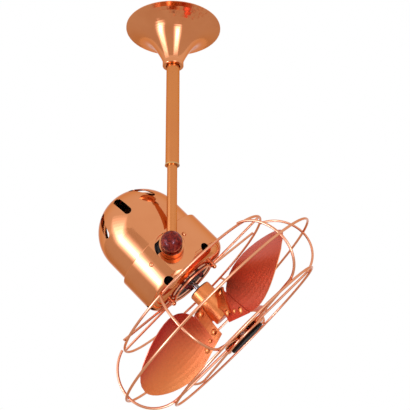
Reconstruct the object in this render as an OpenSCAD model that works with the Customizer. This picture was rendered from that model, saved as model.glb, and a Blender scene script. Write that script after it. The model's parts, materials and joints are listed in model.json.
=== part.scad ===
// Directional ceiling fan: a drop rod under a trumpet canopy carries one tilting fan head
// in a round wire cage. Millimetres, +Z up, origin on the ceiling between the two fixing slots.
// The head has its own axis: in its frame Z runs from the pivot towards the front of the cage,
// X is the cage's upper edge and Y points at the side that carries the knob.

/* [Ceiling mount] */
// Distance between the two ceiling screws
slot_pitch = 89; // [84:1:96]
// Diameter of the ceiling screws' holes
slot_d = 5.4; // [4.4:0.2:6.4]
// Overall length of each slot
slot_len = 12; // [9:1:16]
// Width of the bracket strap
strap_w = 27; // [26:1:34]
// Thickness of the bracket steel
strap_t = 2.5; // [2:0.5:3.5]
// Drop of the hanger pin below the ceiling
pin_drop = 28; // [26:1:32]
// Diameter of the hanger pin
pin_d = 6; // [5:0.5:8]

/* [Canopy] */
// Diameter of the canopy at the ceiling
canopy_d = 160; // [150:1:180]
// Height of the trumpet without its collar
canopy_h = 64.6; // [60:0.2:72]
// Diameter of the trumpet's neck
neck_d = 34.8; // [33:0.2:38]
// Sheet thickness of the canopy
canopy_wall = 1.2; // [0.8:0.1:1.6]
// Height of the collar below the neck
collar_h = 8.6; // [7:0.2:11]
// Bore of the collar round the rod
collar_bore = 24.2; // [23.2:0.2:26]

/* [Drop rod] */
// Outer diameter of the upper tube
tube_d = 22; // [20:0.5:23]
// Wall of the upper tube
tube_wall = 1.5; // [1:0.1:1.7]
// Lower end of the upper tube, measured from the ceiling
tube_drop = 252; // [200:1:262]
// Outer diameter of the swivelling stem
stem_d = 16; // [14:0.5:16]
// Wall of the stem
stem_wall = 1.6; // [1.2:0.1:2.4]
// Length of the stem that runs up inside the tube
stem_engage = 64; // [52:1:80]
// Length of the bronze bush at the tube's mouth
bush_len = 34; // [24:1:40]

/* [Pivot] */
// Height of the tilt axis below the ceiling
pivot_drop = 388; // [375:1:420]
// Tilt of the head below the horizontal
tilt = 46; // [10:1:80]
// Diameter of the cup on the stem
cup_d = 38; // [34:0.5:40]
// Front face of the cup, in front of the rod's axis
cup_front = 12; // [10:0.5:14]
// Diameter of the ball knob
knob_d = 33; // [28:0.5:38]
// Diameter of the clamp bolt
bolt_d = 8; // [6:0.5:9]

/* [Housing] */
// Diameter of the front housing
band_d = 159; // [157:0.5:160]
// Depth of the flat on the housing's side, where the stem sweeps past
flat_depth = 3.5; // [3:0.1:4]
// Sheet thickness of the housing
shell_wall = 1.6; // [1.2:0.1:1.8]
// Rear edge of the front housing, behind the tilt axis
band_back = 28.5; // [26:0.5:34]
// Front face of the housing, ahead of the tilt axis
band_front = 45.5; // [44:0.5:46.5]
// Radius of the housing's front shoulder
shoulder_r = 20; // [16:0.5:22]
// Diameter of the rear dome
dome_d = 146.6; // [140:0.2:147.4]
// Centre of the dome's sphere, behind the tilt axis
dome_back = 68.4; // [60:0.2:76]
// Number of air slots in the dome
slot_count = 8; // [6:1:10]
// Width of an air slot
vent_w = 12.5; // [8:0.5:14]
// Diameter of the round front air holes
port_d = 15.6; // [11:0.2:17]
// Diameter of the pivot opening in the housing
pivot_hole_d = 48; // [44:0.5:50]

/* [Motor] */
// Diameter of the stator
stator_d = 104; // [92:1:106]
// Length of the lamination stack
stack_len = 42; // [30:1:46]
// Diameter of the motor shaft
shaft_d = 8; // [6:0.5:9]
// Diameter of the front shield's dark nose
nose_d = 73.2; // [68:0.2:74]
// Air gap between stator and rotor
air_gap = 0.5; // [0.3:0.05:0.9]

/* [Cage] */
// Wire diameter of the cage
wire_d = 4; // [3:0.1:4.4]
// Radius of the ribs where they are widest
rib_r = 197; // [192:1:204]
// Depth of the widest point, ahead of the tilt axis
rib_mid = 112; // [108:1:116]
// Radius of the rear and front rings
end_ring_r = 151.5; // [146:0.5:156]
// Depth of the rear ring, ahead of the tilt axis
rear_ring_z = 53.5; // [53:0.1:56]
// Radius of the ribs' front bend
front_bend_r = 53.5; // [50:0.5:58]
// Radius of the wire ring round the motor nose
hub_ring_r = 38.6; // [38:0.1:42]
// Number of ribs
rib_count = 6; // [5:1:8]
// Turn of the first rib from the cage's upper edge
rib_phase = 57; // [40:1:75]
// Diameter of the dark cap at the cage's centre
cap_d = 64.6; // [50:0.2:66]

/* [Fan] */
// Diameter of the fan over the blade tips
fan_d = 350; // [320:1:358]
// Number of blades
blade_count = 3; // [3:1:3]
// Width of a blade ahead of its centre line
lead_half = 79; // [70:1:84]
// Width of a blade behind its centre line
trail_half = 50; // [42:1:54]
// Radius at which the blades begin
leaf_root = 35; // [34:1:40]
// Pitch of the blades at their middle
blade_pitch = 43; // [38:1:48]
// Sheet thickness of the blades
blade_t = 1.2; // [0.8:0.1:1.6]
// Rear face of the hub, ahead of the tilt axis
hub_back = 64; // [62:0.5:68]
// Length of the hub
hub_len = 61; // [50:1:64]
// Diameter of the hub
hub_d = 38; // [34:0.2:38]

/* [Fits] */
// Radial clearance of every shaft in its bore
run_fit = 0.05; // [0.03:0.01:0.08]
// Gap between pieces that sit on each other
seat = 0.1; // [0.05:0.05:0.15]
// Gap between a moving piece and a fixed one
clear = 0.5; // [0.4:0.1:0.6]

/* [Hidden] */
$fn = 96;
eps = 0.01;
cut = 1;

copper = [0.80, 0.50, 0.33];
satin_copper = [0.86, 0.52, 0.28];
steel = [0.66, 0.66, 0.68];
charcoal = [0.20, 0.19, 0.20];
wine = [0.42, 0.06, 0.09];
brass = [0.78, 0.62, 0.32];

tube_r = tube_d / 2;
tube_bore_r = tube_r - tube_wall;
stem_r = stem_d / 2;
stem_bore_r = stem_r - stem_wall;
pin_r = pin_d / 2;
bolt_r = bolt_d / 2;
cup_r = cup_d / 2;
knob_r = knob_d / 2;
band_r = band_d / 2;
dome_r = dome_d / 2;
shaft_r = shaft_d / 2;
wire_r = wire_d / 2;
hub_r = hub_d / 2;
nose_r = nose_d / 2;
stator_r = stator_d / 2;

// Hanger: two ears under the strap hold the tube on a cross pin
ear_t = 2.5;
ear_w = 20;
ear_gap = tube_d + 2 * clear;
ear_tip = 5;
ear_low = pin_drop + pin_r + ear_tip;
strap_end = 8;
strap_len = slot_pitch + slot_len + 2 * strap_end;
base_w = ear_gap + 2 * ear_t;
tube_tip = 9;
tube_top = pin_drop - pin_r - tube_tip;
pin_head_t = 4;
earth_x = slot_pitch / 4 + 3;
earth_r = 2;
earth_len = 5;
earth_head_t = 3;
pin_nut_t = 5;
pin_tail = 2;
pin_head_r = pin_r * 1.75;
terminal_x = 30;
terminal_l = 16;
terminal_w = 20;
terminal_h = 11;
lead_r = 1.1;
lead_grip = 4;
lead_bend = 6;
lead_x = 3;
supply_r = 1.6;
supply_depth = 9;
lead_pitch = 5;

// Canopy and collar
canopy_r = canopy_d / 2;
neck_r = neck_d / 2;
rim_gap = seat + 0.4;
lip_h = 1;
flare_steps = 24;
flare_wall_in = 1.25;
flare_wall_up = 0.4;
flare_soft = 0.62;
flare_low = 1.26;
flare_high = 6.8;
collar_r = neck_r + 0.2;
collar_edge = 1.6;
collar_bore_r = collar_bore / 2;
collar_spigot = 4;
canopy_screw_r = 2;
screw_sink = 0.2;
canopy_low = rim_gap + canopy_h;

// Swivel joint of the stem in the tube
bush_lip = 2.2;
bush_lip_r = tube_r + 0.8;
bush_bore_r = stem_r + run_fit;
bush_r = tube_bore_r - seat;
bush_top = tube_drop - bush_len;
washer_t = 1;
retainer_h = 6;
stem_top = tube_drop + bush_lip - stem_engage;
bush_screw_r = 2;
bush_screw_drop = bush_len / 2;
bush_screw_gap = 0.4;
cable_gap = 2.6;
cable_tail = 2;
cable_start = tube_top + 20;

// Pivot: the cup's rear face meets a friction disc on the bracket inside the housing
flat_r = band_r - flat_depth;
head_off = flat_r + stem_r + clear + seat;
bracket_y = head_off - flat_r + shell_wall + seat;
bracket_face = head_off - bracket_y;
wing_r = band_r - shell_wall - seat;
disc_t = 1.2;
cup_back = bracket_y - disc_t - 2 * seat;
cup_wall = 2.4;
bracket_t = 3;
bolt_head_t = 5;
bolt_head_r = 6.6;
bolt_tip = 2;
knob_gap = 0.3;
knob_y = -(cup_front + knob_gap);
knob_cut = 10;
insert_r = bolt_r + 2.2;
insert_len = 15;
hole_back = min(3.5, band_back - pivot_hole_d / 2 - 1);
bracket_w = 30;
bracket_end = 1;
bracket_half = sqrt(wing_r * wing_r - bracket_face * bracket_face) - bracket_end;
bracket_edge = 7;
wing_margin = 8;
disc_r = cup_r - 2;
stem_low = pivot_drop - cup_r + cup_wall;
band_screw_turns = [68, 120];
band_screw_r = 1.7;
band_screw_len = 8;
band_head_r = 3.6;
band_head_h = 2.3;

// Housing and dome
lip_in = 2.5;
lip_z = -band_back + lip_in;
lip_t = 3;
rear_edge = 1.3;
dome_lip_r = band_r - shell_wall - seat;
opening_r = nose_r + clear;
port_count = 6;
port_turn = 59;
port_lean = 24;
slot_turn = 5;
slot_polar = 54.5;
slot_span = 40;
vent_pitch = 2 * dome_r * sin(slot_span / 2) - vent_w;

// Motor
bore_r = 27;
stack_back = -28;
stack_front = stack_back + stack_len;
shield_wall = 3;
shield_in_r = stator_r - shield_wall;
flange_front = band_front - shell_wall - seat;
nose_front = band_front + 0.6;
nose_edge = 1.5;
boss_r = 8;
boss_front = nose_front + 1.4;
boss_lip = 1.5;
boss_back_r = 9.8;
rear_shield_len = 26;
rear_boss_len = 9;
rear_shield_back = stack_back - rear_shield_len;
rear_boss_back = rear_shield_back - rear_boss_len;
bearing_r = 6.6;
bearing_len = 12;
front_bearing_z = boss_front - boss_lip - bearing_len;
rear_bearing_z = rear_boss_back + shield_wall;
rib_w = 2.4;
rib_h = 0.9;
rib_end = 6;
rotor_r = bore_r + 3;
slot_root = 6;
coil_in = bore_r + 5;
coil_out = shield_in_r - 3;
coil_h = 13;
coil_trim = 2;
bolt_edge = 5;
bolt_ring_r = stator_r - bolt_edge;
tie_r = 2;
tie_grip = 9;
tie_head_t = 3;
nose_bush_ring = 19;
nose_bush_r = 3.6;
nose_bush_h = 6;
nose_bush_turn = 137;
nose_plate_t = 3;
nose_screw_r = 1.6;
nose_head_r = 2.6;
nose_head_h = 2.4;
cage_screw_r = 2.5;
cage_head_r = 3.6;
cage_head_h = 5.5;
arm_phase = rib_phase - 60;
tab_r = 5;
tab_half = wire_r + 0.15;
eye_ring = hub_ring_r + wire_r + tab_r;
arm_spread = 14.5;
capacitor_r = 11;
capacitor_len = 34;
capacitor_off = 30;

// Cage
tangent = wire_d + seat;
arm_z = rear_ring_z - tangent;
bend_z = rib_mid;
bend_r = rib_r - front_bend_r;
rib_front_z = rib_mid + front_bend_r;
rib_start_r = end_ring_r + tangent;
rib_start_z = rear_ring_z - 1;
rise = rib_r - rib_start_r;
run = rib_mid - rib_start_z;
back_bend_r = (run * run + rise * rise) / (2 * rise);
back_angle = atan2(run, back_bend_r - rise);
rib_end_r = 14;
middle_ring_r = rib_r + tangent;
ring_drop = end_ring_r - bend_r;
front_ring_z = rib_mid + sqrt(pow(front_bend_r + tangent, 2) - ring_drop * ring_drop);
cap_rim = 3.2;
front_hub_r = cap_d / 2 + cap_rim + wire_r;
front_hub_z = rib_front_z + tangent;
plate_t = 2;
plate_front = rib_front_z - wire_r - seat;
front_plate_z = rib_front_z + wire_r + seat;
front_plate_t = 4;
cap_back = front_plate_z + front_plate_t + seat;
cap_h = 4;
cap_edge = 1;
cap_screw_r = 2.5;
cap_screw_head = 2.6;
arm_end_r = end_ring_r + 1.5;

// Blades: an oval leaf on a pitched, dished and slightly coned surface
tip_r = fan_d / 2;
leaf_half = (tip_r - leaf_root) / 2;
leaf_mid = tip_r - leaf_half;
leaf_z = 103;
leaf_base = 30;
leaf_cone = 10.4;
leaf_sweep = -0.2;
leaf_bow = 0.24;
leaf_ref = 60;
leaf_twist = -7.4;
leaf_cut = 8;
leaf_inset = 3.5;
leaf_rows = 18;
leaf_cols = 14;
blade_turn = 57;
iron_t = 1.6;
iron_gap = 0.25;
iron_root = hub_r + 0.4;
iron_reach = [30, 72];
iron_low = -29;
iron_high = [26, 45];
iron_rows = 8;
iron_cols = 8;
arm_t = 3;
arm_gap = 0.25;
arm_start = hub_r - 7;
arm_reach = 36;
arm_low = [-34, -27];
arm_high = [-6, 21];
arm_rows = 4;
arm_cols = 6;
hub_edge = 3;
hub_screw_r = 2.5;
hub_screw_z = 9;
rivet_r = 2;
large_head = [5.5, 2.4];
small_head = [3.8, 1.8];
rivet_places = [[28, -21.8], [28.2, 15.2], [42, 21.7], [55.6, 29.9]];
rivet_heads = [large_head, large_head, small_head, large_head];
arm_rivets = 2;
shaft_reach = 30;
shaft_front = hub_back + shaft_reach;
shaft_tail = 3.5;
hub_bevel = 1;

// Frames
module on_head() {
    translate([0, head_off, -pivot_drop])
        rotate([0, 90 + tilt, 0])
            rotate([0, 0, 180])
                children();
}

module along_y(y0, y1, r) {
    translate([0, y1, 0])
        rotate([90, 0, 0])
            cylinder(h = y1 - y0, r = r);
}

module tube(r, bore, h) {
    difference() {
        cylinder(h = h, r = r);
        translate([0, 0, -cut])
            cylinder(h = h + 2 * cut, r = bore);
    }
}

module ring(radius, z, thick) {
    translate([0, 0, z])
        rotate_extrude()
            translate([radius, 0])
                circle(r = thick, $fn = 40);
}

module arc_wire(radius, turn, thick) {
    rotate_extrude(angle = turn)
        translate([radius, 0])
            circle(r = thick, $fn = 40);
}

// A round wire from one point to another in the plane z = 0
module straight_wire(p, q, thick) {
    step = q - p;
    translate([p[0], p[1], 0])
        rotate([0, 0, atan2(step[1], step[0])])
            rotate([0, 90, 0])
                cylinder(h = norm(step), r = thick, $fn = 40);
}

module around(count, phase) {
    for (i = [0 : count - 1])
        rotate([0, 0, phase + i * 360 / count])
            children();
}

// Ceiling mount
module ceiling_bracket() {
    color(steel)
        difference() {
            union() {
                translate([-strap_len / 2, -strap_w / 2, -strap_t])
                    cube([strap_len, strap_w, strap_t]);
                translate([-ear_w / 2, -base_w / 2, -strap_t - ear_t + eps])
                    cube([ear_w, base_w, ear_t]);
                for (side = [-1, 1])
                    translate([-ear_w / 2, side * (ear_gap + ear_t) / 2 - ear_t / 2, -ear_low])
                        cube([ear_w, ear_t, ear_low - strap_t]);
            }
            for (side = [-1, 1])
                translate([side * slot_pitch / 2, 0, -strap_t - cut])
                    slot_cut();
            translate([0, 0, -pin_drop])
                along_y(-base_w, base_w, pin_r + run_fit);
            translate([-earth_x, 0, -strap_t - cut])
                cylinder(h = strap_t + 2 * cut, r = earth_r + run_fit);
        }
}

module slot_cut() {
    reach = slot_len / 2 - slot_d / 2;
    for (side = [-1, 1])
        translate([side * reach, 0, 0])
            cylinder(h = strap_t + 2 * cut, r = slot_d / 2);
    translate([-reach, -slot_d / 2, 0])
        cube([2 * reach, slot_d, strap_t + 2 * cut]);
}

module hanger_pin() {
    color(steel)
        translate([0, 0, -pin_drop]) {
            along_y(-base_w / 2 - seat, base_w / 2 + pin_nut_t + pin_tail, pin_r);
            along_y_hex(-base_w / 2 - seat - pin_head_t, -base_w / 2 - seat + eps, pin_head_r);
        }
}

module along_y_hex(y0, y1, r) {
    translate([0, y1, 0])
        rotate([90, 0, 0])
            cylinder(h = y1 - y0, r = r, $fn = 6);
}

module hanger_nut() {
    color(steel)
        translate([0, 0, -pin_drop])
            difference() {
                along_y_hex(base_w / 2 + seat, base_w / 2 + seat + pin_nut_t, pin_head_r);
                along_y(base_w / 2 - cut, base_w / 2 + pin_nut_t + cut, pin_r + run_fit);
            }
}

module earth_screw() {
    color(brass)
        translate([-earth_x, 0, 0]) {
            translate([0, 0, -strap_t - earth_len])
                cylinder(h = strap_t + earth_len, r = earth_r);
            translate([0, 0, -strap_t - earth_head_t - seat])
                cylinder(h = earth_head_t, r = earth_r * 2);
        }
}

// Inner row of holes holds the fan's own leads, the outer row takes the supply's wires
module terminal_block() {
    mid = -strap_t - seat - terminal_h / 2;
    color("ivory")
        difference() {
            translate([terminal_x - terminal_l / 2, -terminal_w / 2, -strap_t - seat - terminal_h])
                cube([terminal_l, terminal_w, terminal_h]);
            for (i = [-1 : 1]) {
                translate([terminal_x - terminal_l / 2 - cut, i * lead_pitch, mid])
                    rotate([0, 90, 0])
                        cylinder(h = lead_grip + 1 + cut, r = lead_r + seat, $fn = 32);
                translate([terminal_x + terminal_l / 2 - supply_depth, i * lead_pitch, mid])
                    rotate([0, 90, 0])
                        cylinder(h = supply_depth + cut, r = supply_r, $fn = 32);
            }
        }
}

// Three short leads run level from the terminals, then turn down into the mouth of the tube
module supply_leads() {
    level = -strap_t - seat - terminal_h / 2;
    start = lead_x + lead_bend;
    turn = level - lead_bend;
    color("saddlebrown")
        for (i = [-1 : 1])
            translate([0, i * lead_pitch, 0]) {
                translate([start, 0, level])
                    rotate([0, 90, 0])
                        cylinder(h = terminal_x - terminal_l / 2 + lead_grip - start, r = lead_r, $fn = 24);
                translate([start, 0, turn])
                    rotate([90, 0, 0])
                        rotate([0, 0, 90])
                            rotate_extrude(angle = 90)
                                translate([lead_bend, 0])
                                    circle(r = lead_r, $fn = 24);
                translate([lead_x, 0, -tube_top - cut])
                    cylinder(h = turn + tube_top + cut, r = lead_r, $fn = 24);
            }
}

// Drop rod
module upper_tube() {
    color(copper)
        difference() {
            translate([0, 0, -tube_drop])
                tube(tube_r, tube_bore_r, tube_drop - tube_top);
            translate([0, 0, -pin_drop])
                along_y(-tube_d, tube_d, pin_r + run_fit);
            bush_screw_holes(bush_screw_r + run_fit);
        }
}

module bush_screw_holes(r) {
    for (turn = [45, 135])
        rotate([0, 0, turn])
            translate([0, 0, -tube_drop + bush_screw_drop])
                rotate([0, 90, 0])
                    cylinder(h = tube_r + cut, r = r, $fn = 32);
}

module swivel_bush() {
    color(brass)
        difference() {
            union() {
                translate([0, 0, -tube_drop])
                    cylinder(h = bush_len, r = bush_r);
                translate([0, 0, -tube_drop - bush_lip - seat])
                    cylinder(h = bush_lip, r = bush_lip_r);
                translate([0, 0, -tube_drop - bush_lip - seat + eps])
                    cylinder(h = bush_lip + seat, r = bush_r);
            }
            translate([0, 0, -tube_drop - bush_lip - cut])
                cylinder(h = bush_len + bush_lip + 2 * cut, r = bush_bore_r);
            bush_screw_holes(bush_screw_r + run_fit);
        }
}

module bush_screws() {
    start = bush_bore_r + bush_screw_gap;
    color(steel)
        for (turn = [45, 135])
            rotate([0, 0, turn])
                translate([start, 0, -tube_drop + bush_screw_drop])
                    rotate([0, 90, 0])
                        cylinder(h = tube_r - start, r = bush_screw_r, $fn = 32);
}

// Canopy: radius of the flare at a share t of its height above the neck
function flare(t) = neck_r
    + (canopy_r - neck_r) * (flare_soft * pow(t, flare_low) + (1 - flare_soft) * pow(t, flare_high));

// Quarter-round edge of radius e, from the flat end to the side, about the centre [x, y]
function round_edge(x, y, e, up) = [for (a = [0 : 15 : 90]) [x + e * sin(a), y + up * e * cos(a)]];

module canopy() {
    rise_h = canopy_h - lip_h;
    outer = [for (i = [0 : flare_steps]) [flare(i / flare_steps), -canopy_low + rise_h * i / flare_steps]];
    inner = [for (i = [flare_steps : -1 : 0])
        [flare(i / flare_steps) - canopy_wall * flare_wall_in,
            -canopy_low + rise_h * i / flare_steps + canopy_wall * flare_wall_up]];
    color(copper)
        rotate_extrude()
            polygon(concat([[neck_r - canopy_wall, -canopy_low]], outer,
                [[canopy_r, -rim_gap], [canopy_r - canopy_wall, -rim_gap]], inner));
}

module canopy_collar() {
    top = -canopy_low - seat;
    edge_z = top - collar_h + collar_edge;
    color(copper)
        difference() {
            union() {
                rotate_extrude()
                    polygon(concat([[0, top], [0, top - collar_h]],
                        round_edge(collar_r - collar_edge, edge_z, collar_edge, -1), [[collar_r, top]]));
                translate([0, 0, top - eps])
                    cylinder(h = collar_spigot, r = neck_r - canopy_wall * flare_wall_in - seat);
            }
            translate([0, 0, top - collar_h - cut])
                cylinder(h = collar_h + collar_spigot + 2 * cut, r = collar_bore_r);
            translate([0, 0, top - collar_h / 2])
                along_y(0, collar_r + cut, canopy_screw_r + run_fit);
        }
}

module canopy_screw() {
    color(steel)
        translate([0, 0, -canopy_low - seat - collar_h / 2])
            along_y(tube_r + seat, collar_r - screw_sink, canopy_screw_r);
}

// Swivelling stem
module lower_stem() {
    color(copper)
        translate([0, 0, -stem_low])
            tube(stem_r, stem_bore_r, stem_low - stem_top);
}

module thrust_washer() {
    color(brass)
        translate([0, 0, -bush_top + seat])
            tube(tube_bore_r - 4 * seat, stem_r + seat, washer_t);
}

module stem_retainer() {
    color(steel)
        translate([0, 0, -bush_top + washer_t + 2 * seat])
            tube(tube_bore_r - 6 * seat, stem_r + run_fit, retainer_h);
}

module stem_cable() {
    color("dimgray")
        translate([0, 0, -stem_low - cable_tail])
            cylinder(h = stem_low + cable_tail - cable_start, r = stem_bore_r - cable_gap, $fn = 32);
}

module pivot_cup() {
    color(copper)
        translate([0, 0, -pivot_drop])
            difference() {
                along_y(-cup_front, cup_back, cup_r);
                along_y(-cup_front + cup_wall, cup_back - cup_wall, cup_r - cup_wall);
                along_y(-cup_front - cut, cup_back + cut, bolt_r + run_fit);
                translate([0, 0, cup_r - cup_wall - cut])
                    cylinder(h = cup_wall + 2 * cut, r = stem_r + run_fit);
            }
}

module friction_disc() {
    color("dimgray")
        translate([0, 0, -pivot_drop])
            difference() {
                along_y(cup_back + seat, cup_back + seat + disc_t, disc_r);
                along_y(cup_back - cut, bracket_y + cut, bolt_r + run_fit);
            }
}

// Knob
module ball_knob() {
    color(wine)
        translate([0, knob_y - knob_cut, -pivot_drop])
            rotate([90, 0, 0])
                rotate_extrude()
                    difference() {
                        intersection() {
                            circle(r = knob_r);
                            translate([0, -knob_cut])
                                square([knob_d, knob_d]);
                        }
                        translate([-cut, -knob_cut - cut])
                            square([insert_r + seat / 2 + cut, insert_len + seat + cut]);
                    }
}

module knob_insert() {
    color(brass)
        translate([0, 0, -pivot_drop])
            difference() {
                along_y(knob_y - insert_len, knob_y, insert_r);
                along_y(knob_y - insert_len - cut, knob_y + cut, bolt_r + run_fit);
            }
}

module pivot_bolt() {
    start = bracket_y + bracket_t + seat;
    color(steel)
        translate([0, 0, -pivot_drop]) {
            along_y(knob_y - insert_len + bolt_tip, start + eps, bolt_r);
            along_y_hex(start, start + bolt_head_t, bolt_head_r);
        }
}

// Bracket inside the housing, in the head's frame: Y is the direction of the clamp bolt
module pivot_bracket() {
    from = band_screw_turns[0] - wing_margin;
    to = band_screw_turns[1] + wing_margin;
    color(copper)
        on_head()
            difference() {
                union() {
                    translate([-bracket_half, bracket_face - bracket_t, -bracket_edge])
                        cube([2 * bracket_half, bracket_t, bracket_w]);
                    along_y(bracket_face - bracket_t, bracket_face, disc_r);
                    intersection() {
                        translate([0, 0, -bracket_edge])
                            tube(wing_r, wing_r - bracket_t, bracket_w);
                        translate([0, 0, -bracket_edge])
                            linear_extrude(height = bracket_w)
                                polygon(band_d * [[0, 0], [cos(from), sin(from)], [cos(to), sin(to)]]);
                        translate([-band_d, 0, -band_d])
                            cube([2 * band_d, bracket_face, 2 * band_d]);
                    }
                }
                along_y(bracket_face - bracket_t - cut, bracket_face + cut, bolt_r + run_fit);
                for (turn = band_screw_turns)
                    band_screw_place(turn)
                        cylinder(h = band_r, r = band_screw_r + run_fit, $fn = 24);
            }
}

// A screw's axis, pointing out through the housing
module band_screw_place(turn) {
    translate([0, 0, -hole_back])
        rotate([0, 0, turn])
            rotate([0, 90, 0])
                children();
}

// A domed head of radius r and height h
module round_head(r, h) {
    ball = (r * r + h * h) / (2 * h);
    intersection() {
        cylinder(h = h, r = r, $fn = 32);
        translate([0, 0, h - ball])
            sphere(r = ball, $fn = 48);
    }
}

module band_screws() {
    color(copper)
        on_head()
            for (turn = band_screw_turns)
                band_screw_place(turn) {
                    translate([0, 0, band_r - band_screw_len])
                        cylinder(h = band_screw_len + seat + eps, r = band_screw_r, $fn = 24);
                    translate([0, 0, band_r + seat])
                        round_head(band_head_r, band_head_h);
                }
}

// Front housing: a drum with a round shoulder, flattened along the side that the stem sweeps over
module housing_solid(inset) {
    r = band_r - inset;
    z1 = band_front - inset;
    c = shoulder_r - inset;
    rear = inset > 0 ? [[r, -band_back - cut]] : round_edge(r - rear_edge, rear_edge - band_back, rear_edge, -1);
    intersection() {
        rotate_extrude() {
            polygon(concat([[0, rear[0][1]]], rear, [[r, z1 - c], [0, z1 - c]]));
            translate([0, z1 - c - eps])
                square([r - c, c + eps]);
            translate([r - c, z1 - c])
                intersection() {
                    circle(r = c, $fn = 72);
                    translate([0, -eps])
                        square([c, c + eps]);
                }
        }
        translate([-band_d, -band_d - band_r + flat_r - inset, -band_d])
            cube([2 * band_d, band_d + band_r, 2 * band_d]);
    }
}

module front_housing() {
    shoulder_z = band_front - shoulder_r;
    color(copper)
        on_head()
            difference() {
                housing_solid(0);
                housing_solid(shell_wall);
                translate([0, 0, band_front - shell_wall - cut])
                    cylinder(h = shell_wall + 2 * cut, r = opening_r);
                translate([0, 0, -hole_back])
                    along_y(flat_r - 3 * shell_wall, flat_r + cut, pivot_hole_d / 2);
                around(port_count, port_turn)
                    translate([band_r - shoulder_r, 0, shoulder_z])
                        rotate([0, 90 - port_lean, 0])
                            translate([0, 0, shoulder_r / 2])
                                cylinder(h = shoulder_r, r = port_d / 2, $fn = 48);
                around(2, arm_phase)
                    translate([eye_ring, 0, band_front - shell_wall - cut])
                        cylinder(h = shell_wall + 2 * cut, r = cage_screw_r + seat, $fn = 32);
                for (turn = band_screw_turns)
                    band_screw_place(turn)
                        cylinder(h = 2 * band_r, r = band_screw_r + run_fit, $fn = 24);
            }
}

// Half outline of the dome and its skirt, measured from the centre of its sphere
module dome_outline(r, top) {
    intersection() {
        circle(r = r, $fn = 120);
        translate([0, -r - cut])
            square([r + cut, r + cut + eps]);
    }
    square([r, top]);
}

module rear_dome() {
    skirt = dome_back + lip_z + lip_t;
    color(copper)
        on_head()
            difference() {
                union() {
                    translate([0, 0, -dome_back])
                        rotate([0, 0, slot_turn + 180 / slot_count])
                            rotate_extrude($fn = 120)
                                difference() {
                                    dome_outline(dome_r, skirt);
                                    dome_outline(dome_r - shell_wall, skirt + cut);
                                }
                    intersection() {
                        translate([0, 0, lip_z])
                            tube(dome_lip_r, dome_r - shell_wall / 2, lip_t);
                        translate([-band_d, -band_d - band_r + flat_r - shell_wall - seat, -band_d])
                            cube([2 * band_d, band_d + band_r, 2 * band_d]);
                    }
                }
                around(slot_count, slot_turn)
                    translate([0, 0, -dome_back])
                        rotate([0, 180 - slot_polar, 0])
                            vent_cut();
            }
}

// One air slot with round ends, cut along a radius of the dome
module vent_cut() {
    low = dome_r * 0.75;
    for (side = [-1, 1])
        translate([side * vent_pitch / 2, 0, low])
            cylinder(h = dome_r * 0.4, r = vent_w / 2, $fn = 36);
    translate([-vent_pitch / 2, -vent_w / 2, low])
        cube([vent_pitch, vent_w, dome_r * 0.4]);
}

// Motor
module front_shield() {
    plate_back = flange_front - shield_wall;
    nose_back = nose_front - nose_plate_t;
    color(charcoal)
        on_head()
            difference() {
                union() {
                    difference() {
                        union() {
                            translate([0, 0, stack_front + seat])
                                cylinder(h = flange_front - stack_front - seat, r = stator_r);
                            translate([0, 0, flange_front - eps])
                                cylinder(h = nose_front - flange_front - nose_edge + eps, r = nose_r);
                            translate([0, 0, nose_front - nose_edge - eps])
                                cylinder(h = nose_edge + eps, r1 = nose_r, r2 = nose_r - nose_edge);
                        }
                        translate([0, 0, stack_front - cut])
                            cylinder(h = plate_back - stack_front + cut, r = shield_in_r);
                        translate([0, 0, plate_back - cut])
                            cylinder(h = nose_back - plate_back + cut, r = nose_r - shield_wall);
                    }
                    translate([0, 0, front_bearing_z])
                        cylinder(h = nose_front - front_bearing_z - nose_edge, r = boss_back_r);
                    translate([0, 0, nose_back])
                        cylinder(h = boss_front - nose_back, r = boss_r);
                    around(6, arm_phase)
                        translate([boss_r - 1, -rib_w / 2, nose_front - 1])
                            cube([nose_r - boss_r - rib_end, rib_w, 1 + rib_h]);
                }
                translate([0, 0, front_bearing_z - cut])
                    cylinder(h = bearing_len + boss_lip + 2 * cut, r = shaft_r + clear);
                translate([0, 0, front_bearing_z - cut])
                    cylinder(h = bearing_len + cut, r = bearing_r + run_fit);
                around(2, arm_phase)
                    translate([eye_ring, 0, flange_front - 2 * shield_wall])
                        cylinder(h = 3 * shield_wall, r = cage_screw_r + run_fit, $fn = 32);
                around(4, 45)
                    translate([bolt_ring_r, 0, stack_front])
                        cylinder(h = tie_grip + cut, r = tie_r + run_fit, $fn = 24);
                around(3, nose_bush_turn)
                    translate([nose_bush_ring, 0, nose_back - cut])
                        cylinder(h = nose_plate_t + 2 * cut, r = nose_screw_r + run_fit, $fn = 24);
            }
}

module rear_shield() {
    color(charcoal)
        on_head()
            difference() {
                union() {
                    translate([0, 0, rear_shield_back])
                        cylinder(h = stack_back - rear_shield_back - seat, r = stator_r);
                    translate([0, 0, rear_boss_back])
                        cylinder(h = rear_shield_back - rear_boss_back + eps, r = boss_back_r);
                }
                translate([0, 0, rear_shield_back + shield_wall])
                    cylinder(h = stack_back - rear_shield_back, r = shield_in_r);
                translate([0, 0, rear_bearing_z])
                    cylinder(h = bearing_len, r = bearing_r + run_fit);
                around(4, 45)
                    translate([bolt_ring_r, 0, rear_shield_back - cut])
                        cylinder(h = stack_back - rear_shield_back + 2 * cut, r = tie_r + run_fit, $fn = 24);
            }
}

module bearing(z) {
    color(brass)
        on_head()
            translate([0, 0, z + seat])
                tube(bearing_r, shaft_r + run_fit, bearing_len - 2 * seat);
}

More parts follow.
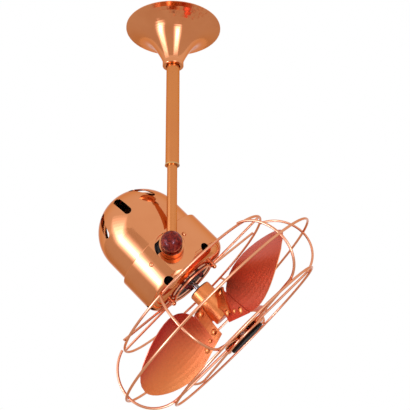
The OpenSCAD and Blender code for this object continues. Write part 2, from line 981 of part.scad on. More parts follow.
module stator_core() {
    teeth = 12;
    tooth_w = 7;
    yoke = 11;
    color(steel)
        on_head()
            difference() {
                translate([0, 0, stack_back])
                    tube(stator_r - seat, rotor_r, stack_len);
                around(teeth, 0)
                    translate([bore_r + slot_root, -tooth_w / 2, stack_back - cut])
                        cube([stator_r - yoke - bore_r - slot_root, tooth_w, stack_len + 2 * cut]);
                around(4, 45)
                    translate([bolt_ring_r, 0, stack_back - cut])
                        cylinder(h = stack_len + 2 * cut, r = tie_r + run_fit, $fn = 24);
            }
}

module windings() {
    color([0.72, 0.36, 0.16])
        on_head() {
            translate([0, 0, stack_front + seat])
                tube(coil_out - coil_trim, coil_in, coil_h);
            translate([0, 0, stack_back - seat - coil_h])
                tube(coil_out - coil_trim, coil_in, coil_h);
        }
}

module tie_bolts() {
    color(steel)
        on_head()
            around(4, 45)
                translate([bolt_ring_r, 0, 0]) {
                    translate([0, 0, rear_shield_back - seat])
                        cylinder(h = stack_front + tie_grip - rear_shield_back, r = tie_r, $fn = 24);
                    translate([0, 0, rear_shield_back - seat - tie_head_t])
                        cylinder(h = tie_head_t + eps, r = tie_r * 2, $fn = 6);
                }
}

module capacitor() {
    color("dimgray")
        on_head()
            translate([-capacitor_off, 0, rear_shield_back - seat - capacitor_len])
                cylinder(h = capacitor_len, r = capacitor_r);
}

module nose_bushes() {
    color(wine)
        on_head()
            around(3, nose_bush_turn)
                translate([nose_bush_ring, 0, nose_front + seat])
                    tube(nose_bush_r, nose_screw_r + run_fit, nose_bush_h);
}

module nose_screws() {
    head_low = nose_front + nose_bush_h + 2 * seat;
    color("black")
        on_head()
            around(3, nose_bush_turn)
                translate([nose_bush_ring, 0, 0]) {
                    translate([0, 0, nose_front - nose_plate_t])
                        cylinder(h = head_low + eps - nose_front + nose_plate_t, r = nose_screw_r, $fn = 24);
                    translate([0, 0, head_low])
                        round_head(nose_head_r, nose_head_h);
                }
}

// Cage
module cage_screws() {
    head_low = arm_z + tab_half + seat;
    screw_low = flange_front - 2 * shield_wall;
    color(copper)
        on_head()
            around(2, arm_phase)
                translate([eye_ring, 0, 0]) {
                    translate([0, 0, screw_low])
                        cylinder(h = head_low + eps - screw_low, r = cage_screw_r, $fn = 32);
                    translate([0, 0, head_low])
                        cylinder(h = cage_head_h / 2 + eps, r = cage_head_r, $fn = 32);
                    translate([0, 0, head_low + cage_head_h / 2])
                        round_head(cage_head_r, cage_head_h / 2);
                }
}

module cage_spacers() {
    low = band_front + seat;
    color(copper)
        on_head()
            around(2, arm_phase)
                translate([eye_ring, 0, low])
                    tube(tab_r - 1, cage_screw_r + seat, arm_z - tab_half - seat - low);
}

module cage_hub_ring() {
    color(copper)
        on_head()
            ring(hub_ring_r, arm_z, wire_r - seat / 2);
}

// Two forked arms: a drilled tab under each screw and two wires out to the rear ring
module cage_arms() {
    start = tab_r * [0.5, 0.78];
    tip = arm_end_r * [cos(arm_spread), sin(arm_spread)];
    color(copper)
        on_head()
            around(2, arm_phase)
                translate([0, 0, arm_z])
                    difference() {
                        union() {
                            translate([eye_ring, 0, -tab_half])
                                cylinder(h = 2 * tab_half, r = tab_r);
                            for (side = [0, 1])
                                mirror([0, side, 0])
                                    straight_wire([eye_ring, 0] + start, tip, wire_r - seat / 2);
                        }
                        translate([eye_ring, 0, -tab_half - cut])
                            cylinder(h = 2 * (tab_half + cut), r = cage_screw_r + seat);
                    }
}

module rear_ring() {
    color(copper)
        on_head()
            ring(end_ring_r, rear_ring_z, wire_r);
}

module middle_ring() {
    color(copper)
        on_head()
            ring(middle_ring_r, rib_mid, wire_r);
}

module front_ring() {
    color(copper)
        on_head()
            ring(end_ring_r, front_ring_z, wire_r);
}

// One rib in the plane of X (radius) and Z (depth): rear arc, front bend, straight run to the cap.
// Its three lengths meet with a hairline joint.
module rib() {
    slip = 0.02;
    rotate([90, 0, 0]) {
        translate([rib_r - back_bend_r, rib_mid, 0])
            rotate([0, 0, -back_angle])
                arc_wire(back_bend_r, back_angle - slip, wire_r);
        translate([bend_r, bend_z, 0])
            rotate([0, 0, slip])
                arc_wire(front_bend_r, 90 - 2 * slip, wire_r);
        straight_wire([rib_end_r, rib_front_z], [bend_r - slip, rib_front_z], wire_r);
    }
}

module cage_ribs() {
    color(copper)
        on_head()
            around(rib_count, rib_phase)
                rib();
}

module front_hub_ring() {
    color(copper)
        on_head()
            ring(front_hub_r, front_hub_z, wire_r);
}

module cap_plate() {
    color(copper)
        on_head()
            translate([0, 0, plate_front - plate_t])
                tube(front_hub_r, cap_screw_r + seat, plate_t);
}

module front_plate() {
    color(copper)
        on_head()
            translate([0, 0, front_plate_z])
                tube(front_hub_r - wire_r - clear, cap_screw_r + seat, front_plate_t);
}

module front_cap() {
    r = cap_d / 2;
    color(charcoal)
        on_head()
            translate([0, 0, cap_back])
                difference() {
                    union() {
                        cylinder(h = cap_h - cap_edge, r = r);
                        translate([0, 0, cap_h - cap_edge - eps])
                            cylinder(h = cap_edge + eps, r1 = r, r2 = r - cap_edge);
                    }
                    translate([0, 0, -cut])
                        cylinder(h = cap_h / 2 + cut, r = cap_screw_r + seat);
                }
}

module cap_screw() {
    low = plate_front - plate_t - seat;
    color(steel)
        on_head() {
            translate([0, 0, low])
                cylinder(h = cap_back + cap_h / 2 - seat - low, r = cap_screw_r, $fn = 32);
            translate([0, 0, low - cap_screw_head])
                cylinder(h = cap_screw_head + eps, r = cap_screw_r * 1.9, $fn = 32);
        }
}

// Rotor
module motor_shaft() {
    color(steel)
        on_head()
            translate([0, 0, rear_boss_back + shaft_tail])
                cylinder(h = shaft_front - rear_boss_back - shaft_tail, r = shaft_r);
}

module rotor_core() {
    color(steel)
        on_head()
            translate([0, 0, stack_back + 1])
                tube(rotor_r - air_gap, shaft_r + seat / 2, stack_len - 2);
}

// Hub with three pitched arms that carry the blade irons
module fan_hub() {
    top = -blade_t / 2 - iron_gap - iron_t - arm_gap;
    hub_front = hub_back + hub_len;
    color(satin_copper)
        on_head()
            difference() {
                union() {
                    rotate_extrude()
                        polygon(concat([[0, hub_front], [0, hub_back]],
                            round_edge(hub_r - hub_edge, hub_back + hub_edge, hub_edge, -1),
                            [[hub_r, hub_front - hub_bevel], [hub_r - hub_bevel, hub_front]]));
                    around(blade_count, blade_turn)
                        sheet_solid(arm_grid(), top - arm_t, top);
                }
                translate([0, 0, hub_back - cut])
                    cylinder(h = shaft_reach + 2 * cut, r = shaft_r + run_fit);
                hub_screw_place()
                    cylinder(h = hub_r + cut, r = hub_screw_r + run_fit, $fn = 32);
            }
}

module hub_screw_place() {
    translate([0, 0, hub_back + hub_screw_z])
        rotate([0, 0, blade_turn - 120])
            rotate([0, 90, 0])
                children();
}

module hub_screw() {
    color(steel)
        on_head()
            hub_screw_place()
                translate([0, 0, shaft_r + seat])
                    cylinder(h = hub_r - shaft_r - hub_bevel, r = hub_screw_r, $fn = 32);
}

// The blade surface at radius x and chordwise place y, lifted by h along its normal
function leaf_y(x, y) = y + leaf_sweep * (x - leaf_mid);
function leaf_pitch(x) = blade_pitch + leaf_twist * (x - leaf_mid) / leaf_half;
function leaf_slope(x, y) = leaf_pitch(x) + atan(2 * leaf_bow * leaf_y(x, y) / leaf_ref);
function leaf_lift(x, y) = leaf_bow * pow(leaf_y(x, y) / leaf_ref, 2) * leaf_ref;
function leaf_point(x, y, h) =
    let (v = leaf_y(x, y), w = leaf_lift(x, y), b = leaf_pitch(x), n = leaf_slope(x, y))
    [x, v * cos(b) - w * sin(b) - h * sin(n),
        leaf_z + tan(leaf_cone) * (x - leaf_base) + v * sin(b) + w * cos(b) + h * cos(n)];

// A sheet from a grid of surface places: grid[i] is a row of [x, y], top and bottom are lifts
module sheet_solid(grid, bottom, top) {
    rows = len(grid);
    cols = len(grid[0]);
    n = rows * cols;
    points = concat(
        [for (row = grid) for (g = row) leaf_point(g[0], g[1], top)],
        [for (row = grid) for (g = row) leaf_point(g[0], g[1], bottom)]);
    faces = concat(
        [for (i = [0 : rows - 2]) for (j = [0 : cols - 2]) each [
            [i * cols + j, i * cols + j + 1, (i + 1) * cols + j],
            [i * cols + j + 1, (i + 1) * cols + j + 1, (i + 1) * cols + j],
            [n + i * cols + j, n + (i + 1) * cols + j, n + i * cols + j + 1],
            [n + i * cols + j + 1, n + (i + 1) * cols + j, n + (i + 1) * cols + j + 1]]],
        [for (i = [0 : rows - 2]) each [
            [i * cols, (i + 1) * cols, n + i * cols],
            [(i + 1) * cols, n + (i + 1) * cols, n + i * cols],
            [i * cols + cols - 1, n + i * cols + cols - 1, (i + 1) * cols + cols - 1],
            [(i + 1) * cols + cols - 1, n + i * cols + cols - 1, n + (i + 1) * cols + cols - 1]]],
        [for (j = [0 : cols - 2]) each [
            [j, n + j, j + 1],
            [j + 1, n + j, n + j + 1],
            [(rows - 1) * cols + j, (rows - 1) * cols + j + 1, n + (rows - 1) * cols + j],
            [(rows - 1) * cols + j + 1, n + (rows - 1) * cols + j + 1, n + (rows - 1) * cols + j]]]);
    polyhedron(points, faces);
}

function mix(a, b, t) = a + (b - a) * t;

// Edge of the iron on the side that carries the rivets, at radius x
function iron_edge(x) = mix(iron_high[0], iron_high[1], (x - iron_root) / (iron_reach[1] - iron_root));

// An oval leaf. Over the iron its edge follows the iron's, so that the rivets pass through both.
function leaf_grid() = [for (i = [0 : leaf_rows])
    let (phi = leaf_cut + (180 - 2 * leaf_cut) * i / leaf_rows,
        x = leaf_mid - leaf_half * cos(phi),
        low = -lead_half * sin(phi),
        oval = trail_half * sin(phi),
        high = x < iron_reach[1] ? max(oval, iron_edge(x) - leaf_inset) : oval)
    [for (j = [0 : leaf_cols]) [x, mix(low, high, j / leaf_cols)]]];

// Irons: a root edge at the hub and a slanting outer edge
function iron_grid() = [for (i = [0 : iron_rows])
    [for (j = [0 : iron_cols])
        let (t = j / iron_cols, s = i / iron_rows)
        [mix(iron_root, mix(iron_reach[0], iron_reach[1], t), s),
            mix(iron_low, mix(iron_high[0], iron_high[1], s), t)]]];

// Hub arms: narrow inside the hub, as wide as the iron under its inner rivets
function arm_grid() = [for (i = [0 : arm_rows])
    [for (j = [0 : arm_cols])
        let (t = j / arm_cols, s = i / arm_rows)
        [mix(arm_start, arm_reach, s),
            mix(mix(arm_low[0], arm_low[1], s), mix(arm_high[0], arm_high[1], s), t)]]];

module on_blade(index) {
    on_head()
        rotate([0, 0, blade_turn + index * 360 / blade_count])
            children();
}

module blade(index) {
    color(satin_copper)
        on_blade(index)
            sheet_solid(leaf_grid(), -blade_t / 2, blade_t / 2);
}

module blade_iron(index) {
    top = -blade_t / 2 - iron_gap;
    color(satin_copper)
        on_blade(index)
            sheet_solid(iron_grid(), top - iron_t, top);
}

// The inner rivets join the irons to the hub's arms, the outer ones to the blades
module rivet(i) {
    x = rivet_places[i][0];
    y = rivet_places[i][1];
    iron_top = -blade_t / 2 - iron_gap;
    top = i < arm_rivets ? iron_top + seat : blade_t / 2 + seat;
    low = i < arm_rivets ? iron_top - iron_t - arm_gap - arm_t - seat : iron_top - iron_t - seat;
    translate(leaf_point(x, y, 0))
        rotate([leaf_slope(x, y), 0, 0]) {
            translate([0, 0, low - eps])
                cylinder(h = top - low + 2 * eps, r = rivet_r, $fn = 24);
            translate([0, 0, top])
                round_head(rivet_heads[i][0], rivet_heads[i][1]);
            translate([0, 0, low])
                rotate([180, 0, 0])
                    round_head(rivet_heads[i][0], rivet_heads[i][1]);
        }
}

module blade_rivets() {
    color(copper)
        for (index = [0 : blade_count - 1])
            on_blade(index)
                for (i = [0 : len(rivet_places) - 1])
                    rivet(i);
}

ceiling_bracket();
hanger_pin();
hanger_nut();
earth_screw();
terminal_block();
supply_leads();
upper_tube();
swivel_bush();
bush_screws();
canopy();
canopy_collar();
canopy_screw();
lower_stem();
thrust_washer();
stem_retainer();
stem_cable();
pivot_cup();
friction_disc();
ball_knob();
knob_insert();
pivot_bolt();
pivot_bracket();
band_screws();
front_housing();
rear_dome();
front_shield();
rear_shield();
bearing(front_bearing_z);  // front_bearing
bearing(rear_bearing_z);  // rear_bearing
stator_core();
windings();
tie_bolts();
capacitor();
nose_bushes();
nose_screws();
cage_screws();
cage_spacers();
cage_hub_ring();
cage_arms();
rear_ring();
middle_ring();
front_ring();
cage_ribs();
front_hub_ring();
cap_plate();
front_plate();
front_cap();
cap_screw();
motor_shaft();
rotor_core();
fan_hub();
hub_screw();
blade_iron(0);  // blade_iron_1
blade_iron(1);  // blade_iron_2
blade_iron(2);  // blade_iron_3
blade(0);  // blade_1
blade(1);  // blade_2
blade(2);  // blade_3
blade_rivets();
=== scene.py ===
import json
import math

import bpy
from mathutils import Matrix, Vector

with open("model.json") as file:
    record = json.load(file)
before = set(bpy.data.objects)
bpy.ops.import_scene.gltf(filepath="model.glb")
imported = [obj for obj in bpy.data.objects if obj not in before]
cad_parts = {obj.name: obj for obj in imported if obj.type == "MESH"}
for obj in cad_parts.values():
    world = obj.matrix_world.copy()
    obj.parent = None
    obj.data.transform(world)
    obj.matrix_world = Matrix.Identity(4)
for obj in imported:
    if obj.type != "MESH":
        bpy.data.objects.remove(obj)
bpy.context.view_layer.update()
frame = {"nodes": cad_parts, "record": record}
nodes = frame["nodes"]
print("frame loaded:", len(nodes), "nodes")


# Shader maths: a value is a socket that adds Math nodes when it is used in an expression
class Val:
    def __init__(self, tree, socket):
        self.tree = tree
        self.socket = socket

    def maths(self, operation, first, second):
        return self.tree.node("ShaderNodeMath", {"operation": operation}, {0: first, 1: second})

    def __add__(self, other):
        return self.maths("ADD", self, other)

    def __radd__(self, other):
        return self.maths("ADD", other, self)

    def __sub__(self, other):
        return self.maths("SUBTRACT", self, other)

    def __rsub__(self, other):
        return self.maths("SUBTRACT", other, self)

    def __mul__(self, other):
        return self.maths("MULTIPLY", self, other)

    def __rmul__(self, other):
        return self.maths("MULTIPLY", other, self)

    def atLeast(self, other):
        return self.maths("MAXIMUM", self, other)


class Shading:
    # A node tree and the one method that makes its nodes
    def __init__(self, nodeTree):
        self.nodeTree = nodeTree

    def node(self, kind, settings=None, inputs=None, output=0):
        made = self.nodeTree.nodes.new(kind)
        for key, value in (settings or {}).items():
            if key == "stops":
                ramp = made.color_ramp
                while len(ramp.elements) < len(value):
                    ramp.elements.new(0.5)
                for element, (place, colour) in zip(ramp.elements, value):
                    element.position = place
                    element.color = colour
            else:
                setattr(made, key, value)
        for key, value in (inputs or {}).items():
            if isinstance(value, Val):
                self.nodeTree.links.new(value.socket, made.inputs[key])
            else:
                made.inputs[key].default_value = value
        return Val(self, made.outputs[output]) if made.outputs else None


# How a sharp edge is found: the product of the bevelled and the real normal falls from open to sharp
edgeSearch = {"samples": 4, "open": 0.995, "sharp": 0.9}


class Finish(Shading):
    # One material: its shader and the few steps that every finish here is made from
    def __init__(self, name, fixed=None):
        self.material = bpy.data.materials.new(name)
        self.material.use_nodes = True
        super().__init__(self.material.node_tree)
        self.shader = self.nodeTree.nodes["Principled BSDF"]
        for socketName, value in (fixed or {}).items():
            self.shader.inputs[socketName].default_value = value

    def place(self, scale=(1, 1, 1)):
        where = self.node("ShaderNodeTexCoord", output="Object")
        return self.node("ShaderNodeMapping", {}, {"Vector": where, "Scale": scale})

    def noise(self, scale, detail=2.0, rough=0.5, vector=None, distortion=0.0):
        return self.node("ShaderNodeTexNoise", {"noise_dimensions": "3D"},
                         {"Vector": vector or self.place(), "Scale": scale, "Detail": detail,
                          "Roughness": rough, "Distortion": distortion})

    def ramp(self, value, stops):
        return self.node("ShaderNodeValToRGB", {"stops": stops}, {0: value})

    def blend(self, share, first, second):
        # a Mix node keeps its colours in sockets 6 and 7, and their mixture in output 2
        inputs = {0: share, 6: first, 7: second}
        return self.node("ShaderNodeMix", {"data_type": "RGBA"}, inputs, output=2)

    def range(self, value, start, end, newStart=0.0, newEnd=1.0):
        inputs = {"Value": value, "From Min": start, "From Max": end, "To Min": newStart, "To Max": newEnd}
        return self.node("ShaderNodeMapRange", {"interpolation_type": "SMOOTHSTEP"}, inputs)

    def minus(self, first, second):
        return self.node("ShaderNodeVectorMath", {"operation": "SUBTRACT"}, {0: first, 1: second})

    def dot(self, first, second):
        inputs = {0: first, 1: second}
        return self.node("ShaderNodeVectorMath", {"operation": "DOT_PRODUCT"}, inputs, output=1)

    def edges(self, width):
        # 1 near a sharp edge, 0 on open surface
        bevel = self.node("ShaderNodeBevel", {"samples": edgeSearch["samples"]}, {"Radius": width})
        geometry = self.node("ShaderNodeNewGeometry", output="Normal")
        return self.range(self.dot(bevel, geometry), start=edgeSearch["open"], end=edgeSearch["sharp"])

    def feed(self, socketName, value):
        self.nodeTree.links.new(value.socket, self.shader.inputs[socketName])

    def bump(self, height, strength, distance):
        inputs = {"Strength": strength, "Distance": distance, "Height": height}
        self.feed("Normal", self.node("ShaderNodeBump", {}, inputs))


def rgb(red, green, blue):
    # a colour as it is read from a screen, 0 to 255, turned to the linear values that shaders use
    def linear(c):
        c = c / 255
        return c / 12.92 if c <= 0.04045 else ((c + 0.055) / 1.055) ** 2.4
    return (linear(red), linear(green), linear(blue), 1.0)


# Polished copper plate under thin lacquer: faint cloudy tarnish, soft waves in the sheet, wiping marks,
# and a painted highlight: a paler colour along sharp edges
polishedCopper = {
    "colour": rgb(215, 137, 88),
    "tarnish": rgb(202, 120, 72),
    "tarnishShare": 0.6,
    "tarnishScale": 9.0,
    # painted highlight colour along sharp edges
    "edge": rgb(240, 186, 150),
    "edgeWidth": 0.0008,
    "edgeHighlightShare": 0.4,
    "edgeRoughness": 0.05,
    "grazing": rgb(226, 168, 132),
    "roughness": 0.09,
    "smudge": 0.06,
    "smudgeScale": 38.0,
    "coat": 0.3,
    "coatRoughness": 0.08,
    "waveScale": 14.0,
    "waveStrength": 0.2,
    "waveHeight": 0.0003,
}


def makePolishedCopper(name, **changes):
    spec = dict(polishedCopper, **changes)
    finish = Finish(name, {"Metallic": 1.0, "Coat Roughness": spec["coatRoughness"],
                           "Coat Weight": spec["coat"], "Specular Tint": spec["grazing"]})
    cloud = finish.noise(spec["tarnishScale"], detail=4.0, rough=0.6)
    tarnished = finish.range(cloud, start=0.42, end=0.72, newEnd=spec["tarnishShare"])
    base = finish.blend(tarnished, spec["colour"], spec["tarnish"])
    rim = finish.edges(spec["edgeWidth"])
    # painted highlight: sharp edges are blended towards the pale edge colour
    finish.feed("Base Color", finish.blend(rim * spec["edgeHighlightShare"], base, spec["edge"]))
    smear = finish.noise(spec["smudgeScale"], detail=5.0, rough=0.62, distortion=0.4)
    smudged = finish.range(smear, start=0.45, end=0.75, newEnd=spec["smudge"])
    finish.feed("Roughness", spec["roughness"] + smudged + rim * spec["edgeRoughness"])
    wave = finish.noise(spec["waveScale"], detail=1.0, rough=0.4)
    finish.bump(wave, spec["waveStrength"], spec["waveHeight"])
    return finish.material


# Satin copper of the hub and rivets, finely brushed, with a painted highlight: a paler colour along sharp
# edges
satinCopper = {
    "colour": rgb(224, 130, 68),
    "deep": rgb(216, 118, 58),
    "cloudScale": 12.0,
    # painted highlight colour along sharp edges
    "edge": rgb(240, 180, 130),
    "edgeWidth": 0.0006,
    "edgeHighlightShare": 0.4,
    "grazing": rgb(214, 140, 100),
    "metallic": 0.9,
    "roughness": 0.32,
    "coat": 0.4,
    "coatRoughness": 0.3,
    "brushScale": 900.0,
    "brushStretch": 0.12,
    "brushStrength": 0.05,
    "brushHeight": 0.00005,
}

# Blades and irons: duller, and redder where they face against the spin axis, which is painted shade and a
# painted reflection. A blade also reddens towards the edge that trails in a positive turn, a painted
# reflection of copper in copper, from tintNone to tintFull, in metres from its middle, and by rootShare
# towards its root.
bladeCopper = {
    "colour": rgb(238, 146, 82),
    "deep": rgb(230, 132, 72),
    "roughness": 0.44,
    # the red of the painted reflection, then the painted shade colour of faces against the spin axis
    "red": rgb(196, 54, 48),
    "paintedBackShade": rgb(206, 88, 58),
    "backShadeSoftness": 0.1,
    "tintNone": 0.055,
    "tintFull": -0.06,
    "tintDrift": 0.04,
    "rootShare": 0.25,
}


def paintBladeShadeAndReflection(finish, base, cloud, blade):
    # painted reflection of copper in copper: the blade turns red towards its trailing edge
    if blade["trailingReflectionPainted"]:
        fromMiddle = finish.minus(finish.node("ShaderNodeTexCoord", output="Object"), blade["middle"])
        along = finish.dot(fromMiddle, blade["across"]) + (cloud - 0.5) * bladeCopper["tintDrift"]
        paintedReflectionShare = finish.range(along, start=bladeCopper["tintNone"], end=bladeCopper["tintFull"])
        base = finish.blend(paintedReflectionShare, base, bladeCopper["red"])
    # painted shade and painted reflection: faces turned against the spin axis take the dark back colour
    facing = finish.dot(finish.node("ShaderNodeTexCoord", output="Normal"), blade["axis"])
    soft = bladeCopper["backShadeSoftness"]
    return finish.blend(finish.range(facing, start=soft, end=-soft), base, bladeCopper["paintedBackShade"])


def makeSatinCopper(name, blade=None, **changes):
    spec = dict(satinCopper, **changes)
    finish = Finish(name, {"Metallic": spec["metallic"], "Coat Roughness": spec["coatRoughness"],
                           "Coat Weight": spec["coat"], "Specular Tint": spec["grazing"]})
    cloud = finish.noise(spec["cloudScale"], detail=3.0)
    base = finish.blend(finish.range(cloud, start=0.35, end=0.7), spec["colour"], spec["deep"])
    if blade:
        base = paintBladeShadeAndReflection(finish, base, cloud, blade)
    rim = finish.edges(spec["edgeWidth"])
    # painted highlight: sharp edges are blended towards the pale edge colour
    finish.feed("Base Color", finish.blend(rim * spec["edgeHighlightShare"], base, spec["edge"]))
    stretch = finish.place(scale=(1, spec["brushStretch"], 1))
    brush = finish.noise(spec["brushScale"], detail=2.0, vector=stretch)
    streaked = finish.range(brush, start=0.35, end=0.7, newStart=-0.03, newEnd=0.04)
    finish.feed("Roughness", spec["roughness"] + streaked)
    finish.bump(brush, spec["brushStrength"], spec["brushHeight"])
    return finish.material


def makeBladeCopper(thing, trailingReflectionPainted=True):
    # the middle of the blade and the way a positive turn moves it, leant outwards by rootShare
    joints = frame["record"]["behaviour"]["joints"]
    spin = next(joint for joint in joints if joint["name"] == "fan_spin")
    axis = Vector(spin["axis"]).normalized()
    corners = [thing.matrix_world @ vertex.co for vertex in thing.data.vertices]
    middle = sum(corners, Vector()) / len(corners)
    arm = middle - Vector(spin["pos_m"])
    outward = (arm - axis * arm.dot(axis)).normalized()
    across = (axis.cross(outward) + outward * bladeCopper["rootShare"]).normalized()
    blade = {"middle": tuple(middle), "across": tuple(across), "axis": tuple(axis), "trailingReflectionPainted": trailingReflectionPainted}
    return makeSatinCopper(thing.name + "Copper", blade, roughness=bladeCopper["roughness"],
                           colour=bladeCopper["colour"], deep=bladeCopper["deep"])


# Enamel paint: slightly uneven in tone, speckled gloss, paler where an edge is worn
paint = {
    "roughness": 0.45,
    "shine": 0.25,
    "wear": 0.3,
    "wornEdge": rgb(150, 146, 142),
    "edgeWidth": 0.0005,
    "cloudScale": 30.0,
    "speckScale": 300.0,
    "speckStrength": 0.3,
    "speckHeight": 0.0002,
}


def makePaint(name, colour, dark, **changes):
    spec = dict(paint, **changes)
    finish = Finish(name, {"Specular IOR Level": spec["shine"]})
    cloud = finish.noise(spec["cloudScale"], detail=4.0)
    tone = finish.blend(finish.range(cloud, start=0.35, end=0.7), colour, dark)
    rim = finish.edges(spec["edgeWidth"])
    finish.feed("Base Color", finish.blend(rim * spec["wear"], tone, spec["wornEdge"]))
    speck = finish.noise(spec["speckScale"], detail=3.0, rough=0.65)
    speckled = finish.range(speck, start=0.4, end=0.7, newStart=-0.05, newEnd=0.08)
    finish.feed("Roughness", spec["roughness"] + speckled)
    finish.bump(speck, spec["speckStrength"], spec["speckHeight"])
    return finish.material


# Bare turned metal: dull stains and fine grooves from the tool
turnedMetal = {
    "roughness": 0.28,
    "stain": rgb(120, 118, 116),
    "stainShare": 0.6,
    "stainScale": 60.0,
    "grooveScale": 1400.0,
    "grooveStretch": 0.05,
    "grooveStrength": 0.1,
    "grooveHeight": 0.0001,
}


def makeTurnedMetal(name, colour, **changes):
    spec = dict(turnedMetal, **changes)
    finish = Finish(name, {"Metallic": 1.0})
    cloud = finish.noise(spec["stainScale"], detail=3.0)
    stained = finish.range(cloud, start=0.4, end=0.7, newEnd=spec["stainShare"])
    finish.feed("Base Color", finish.blend(stained, colour, spec["stain"]))
    stretch = finish.place(scale=(spec["grooveStretch"], 1, spec["grooveStretch"]))
    groove = finish.noise(spec["grooveScale"], detail=1.0, vector=stretch)
    grooved = finish.range(groove, start=0.4, end=0.6, newStart=-0.06, newEnd=0.08)
    finish.feed("Roughness", spec["roughness"] + grooved)
    finish.bump(groove, spec["grooveStrength"], spec["grooveHeight"])
    return finish.material


# The ball knob: figured dark red wood under lacquer
lacqueredWood = {
    "dark": rgb(52, 10, 10),
    "middle": rgb(118, 24, 22),
    "pale": rgb(170, 54, 38),
    "shine": 0.05,
    "roughness": 0.4,
    "lacquer": 0.22,
    "lacquerRoughness": 0.06,
    "figureScale": 150.0,
    "figureStretch": 0.28,
    "figureTwist": 1.4,
    "figureStrength": 0.05,
    "figureHeight": 0.0001,
}


def makeLacqueredWood(name):
    spec = lacqueredWood
    finish = Finish(name, {"Specular IOR Level": spec["shine"], "Roughness": spec["roughness"],
                           "Coat Weight": spec["lacquer"], "Coat Roughness": spec["lacquerRoughness"]})
    along = finish.place(scale=(1, spec["figureStretch"], 1))
    figure = finish.noise(spec["figureScale"], detail=4.0, rough=0.6, vector=along,
                          distortion=spec["figureTwist"])
    stops = [(0.34, spec["dark"]), (0.48, spec["middle"]), (0.64, spec["pale"])]
    finish.feed("Base Color", finish.ramp(figure, stops))
    finish.bump(figure, spec["figureStrength"], spec["figureHeight"])
    return finish.material


# Moulded rubber and plastic, and the varnish on the windings, all with a fine grain
moulded = {
    "roughness": 0.5,
    "cloudScale": 80.0,
    "grainScale": 900.0,
    "grainStrength": 0.15,
    "grainHeight": 0.0001,
}


def makeMoulded(name, colour, dark, **changes):
    spec = dict(moulded, **changes)
    finish = Finish(name)
    cloud = finish.noise(spec["cloudScale"], detail=3.0)
    finish.feed("Base Color", finish.blend(finish.range(cloud, start=0.3, end=0.7), colour, dark))
    grain = finish.noise(spec["grainScale"], detail=2.0)
    grained = finish.range(grain, start=0.4, end=0.6, newStart=-0.05, newEnd=0.05)
    finish.feed("Roughness", spec["roughness"] + grained)
    finish.bump(grain, spec["grainStrength"], spec["grainHeight"])
    return finish.material


wireCopper = makePolishedCopper("wireCopper", colour=rgb(222, 150, 112), tarnish=rgb(214, 138, 98),
                                roughness=0.16, waveHeight=0.0)
tubeCopper = makePolishedCopper("tubeCopper", colour=rgb(204, 126, 70), tarnish=rgb(198, 118, 64),
                                roughness=0.26, coat=0.1)
hubCopper = makeSatinCopper("hubCopper")
blackened = makePaint("blackenedSteel", rgb(34, 28, 26), rgb(16, 14, 13), roughness=0.55, shine=0.02,
                      wear=0.1)
shaftSteel = makeTurnedMetal("groundShaft", rgb(160, 152, 150), roughness=0.2)

finishOf = {
    "polished_copper": makePolishedCopper("polishedCopper"),
    "satin_copper": hubCopper,
    "zinc_steel": makeTurnedMetal("zincSteel", rgb(190, 190, 194)),
    "lamination_steel": makeTurnedMetal("laminations", rgb(120, 118, 118), roughness=0.45),
    "charcoal_enamel": makePaint("charcoalEnamel", rgb(74, 62, 57), rgb(38, 31, 29), shine=0.12),
    "bronze": makeTurnedMetal("turnedBronze", rgb(206, 160, 96)),
    "terminal_plastic": makeMoulded("ivoryTerminal", rgb(226, 220, 200), rgb(212, 204, 182)),
    "cable_plastic": makeMoulded("cablePlastic", rgb(58, 56, 58), rgb(40, 38, 40)),
    "winding_enamel": makeMoulded("windingVarnish", rgb(158, 76, 36), rgb(120, 52, 26), roughness=0.3),
    "turned_wood": makeLacqueredWood("lacqueredWood"),
    "red_rubber": makeMoulded("redRubber", rgb(150, 30, 30), rgb(110, 20, 22)),
    "black_steel": blackened,
}
ownFinish = {
    "upper_tube": tubeCopper,
    "lower_stem": tubeCopper,
    "motor_shaft": shaftSteel,
    "front_cap": blackened,
    "blade_rivets": hubCopper,
}
cageWires = ("cage_arms", "cage_hub_ring", "rear_ring", "middle_ring", "front_ring", "cage_ribs",
             "front_hub_ring")
for name in cageWires:
    ownFinish[name] = wireCopper
for number in ("1", "2", "3"):
    ownFinish["blade_" + number] = makeBladeCopper(nodes["blade_" + number])
    ownFinish["blade_iron_" + number] = makeBladeCopper(nodes["blade_iron_" + number], trailingReflectionPainted=False)

slots = {row["node"]: row["material_slot"] for row in frame["record"]["subparts"]}
for name, thing in nodes.items():
    material = ownFinish.get(name, finishOf[slots[name]])
    thing.data.materials.clear()
    thing.data.materials.append(material)
print("finishes set")


# The room: a floor well under the fan and a bright backdrop. The camera and the metal's mirrored rays
# see the backdrop, and everything else is lit by the softer light.
room = {
    "floorLevel": -2.2,
    "floorSize": 60.0,
    "floorColour": rgb(240, 238, 235),
    "floorPatch": rgb(228, 226, 222),
    "patchScale": 3.0,
    "patchShare": 0.2,
    "floorRoughness": 0.8,
    "backdropColour": (1, 1, 1, 1),
    "backdrop": 1.0,
    "light": 0.85,
    "lightColour": rgb(255, 250, 246),
}


def makeFloor():
    mesh = bpy.data.meshes.new("paleFloor")
    half = room["floorSize"] / 2
    z = room["floorLevel"]
    corners = [(-half, -half, z), (half, -half, z), (half, half, z), (-half, half, z)]
    mesh.from_pydata(corners, [], [(0, 1, 2, 3)])
    floor = bpy.data.objects.new("paleFloor", mesh)
    bpy.context.collection.objects.link(floor)
    finish = Finish("palePlaster", {"Roughness": room["floorRoughness"]})
    patch = finish.noise(room["patchScale"], detail=4.0) * room["patchShare"]
    finish.feed("Base Color", finish.blend(patch, room["floorColour"], room["floorPatch"]))
    floor.data.materials.append(finish.material)


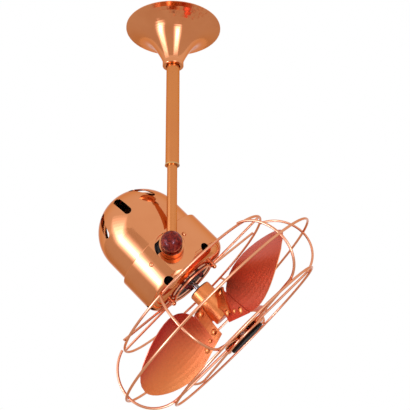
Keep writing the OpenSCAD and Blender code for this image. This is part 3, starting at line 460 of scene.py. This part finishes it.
def makeWorld():
    world = bpy.data.worlds.new("studio")
    bpy.context.scene.world = world
    world.use_nodes = True
    world.node_tree.nodes.clear()
    sky = Shading(world.node_tree)
    seen = sky.node("ShaderNodeBackground", {},
                    {"Color": room["backdropColour"], "Strength": room["backdrop"]})
    light = sky.node("ShaderNodeBackground", {},
                     {"Color": room["lightColour"], "Strength": room["light"]})
    # the camera, mirrored rays and any rays through glass see the white backdrop
    share = sky.node("ShaderNodeLightPath", output="Is Camera Ray")
    for ray in ("Is Glossy Ray", "Is Transmission Ray"):
        share = share.atLeast(sky.node("ShaderNodeLightPath", output=ray))
    surface = sky.node("ShaderNodeMixShader", {}, {0: share, 1: light, 2: seen})
    sky.node("ShaderNodeOutputWorld", {}, {"Surface": surface})


# Soft boxes for the copper to mirror. turn is a box's direction from the camera's side and spread its
# width, both in degrees, and low and high are the heights of its edges. Each box is a few layers, one
# behind another, so that its mirror image fades towards the edges. brightness sets how bright a layer
# looks in a mirror, whatever its size.
softLight = {
    "colour": (0.86, 1.0, 1.4),
    "layerGap": 0.01,
    "boxes": [
        {"name": "left", "turn": -65, "distance": 1.07, "low": -1.88, "high": -0.08, "spread": 34},
        {"name": "right", "turn": 23, "distance": 1.5, "low": -2.15, "high": -0.35, "spread": 34},
    ],
    "layers": [
        {"size": 1.35, "brightness": 0.25},
        {"size": 1.22, "brightness": 0.3},
        {"size": 1.08, "brightness": 0.4},
        {"size": 0.94, "brightness": 0.6},
        {"size": 0.8, "brightness": 0.9},
        {"size": 0.62, "brightness": 1.6},
        {"size": 0.42, "brightness": 2.0},
        {"size": 0.2, "brightness": 14.0},
    ],
}


def addPanel(name, turn, distance, low, high, spread, brightness):
    away = math.radians(turn)
    place = Vector((math.sin(away) * distance, -math.cos(away) * distance, (low + high) / 2))
    width = 2 * distance * math.tan(math.radians(spread) / 2)
    height = high - low
    lamp = bpy.data.lights.new(name, "AREA")
    lamp.shape = "RECTANGLE"
    lamp.size = width
    lamp.size_y = height
    lamp.energy = brightness * math.pi * width * height
    lamp.color = softLight["colour"]
    thing = bpy.data.objects.new(name, lamp)
    bpy.context.collection.objects.link(thing)
    thing.location = place
    thing.rotation_euler = (Vector((0, 0, place.z)) - place).to_track_quat("-Z", "Y").to_euler()
    thing.visible_diffuse = False


def makeSoftBox(box):
    for i, layer in enumerate(softLight["layers"]):
        trim = (box["high"] - box["low"]) * (1 - layer["size"]) / 2
        distance = box["distance"] + softLight["layerGap"] * i
        addPanel(box["name"] + "Panel" + str(i + 1), box["turn"], distance, box["low"] + trim,
                 box["high"] - trim, box["spread"] * layer["size"], layer["brightness"])


# The camera stands below the fan and looks up at it
camera = {
    "place": (0.00415, -1.0889, -0.73358),
    "yaw": 2.49,
    "pitch": 20.24,
    "roll": -0.46,
    "lens": 65.57,
    "shiftY": 0.0163,
    "sensorWidth": 36.0,
    "nearest": 0.01,
}


def makeCamera(spec):
    yaw, pitch, roll = (math.radians(spec[key]) for key in ("yaw", "pitch", "roll"))
    forward = Vector((math.sin(yaw) * math.cos(pitch), math.cos(yaw) * math.cos(pitch), math.sin(pitch)))
    right = Vector((math.cos(yaw), -math.sin(yaw), 0))
    up = right.cross(forward)
    across = right * math.cos(roll) + up * math.sin(roll)
    above = up * math.cos(roll) - right * math.sin(roll)
    data = bpy.data.cameras.new("viewer")
    data.lens = spec["lens"]
    data.sensor_width = spec["sensorWidth"]
    data.shift_y = spec["shiftY"]
    data.clip_start = spec["nearest"]
    thing = bpy.data.objects.new("viewer", data)
    bpy.context.collection.objects.link(thing)
    turned = Matrix((across, above, -forward)).transposed().to_4x4()
    thing.matrix_world = Matrix.Translation(spec["place"]) @ turned
    bpy.context.scene.camera = thing


makeFloor()
makeWorld()
for box in softLight["boxes"]:
    makeSoftBox(box)
makeCamera(camera)
bpy.context.scene.view_settings.view_transform = "Standard"
print("room, lights and camera ready")
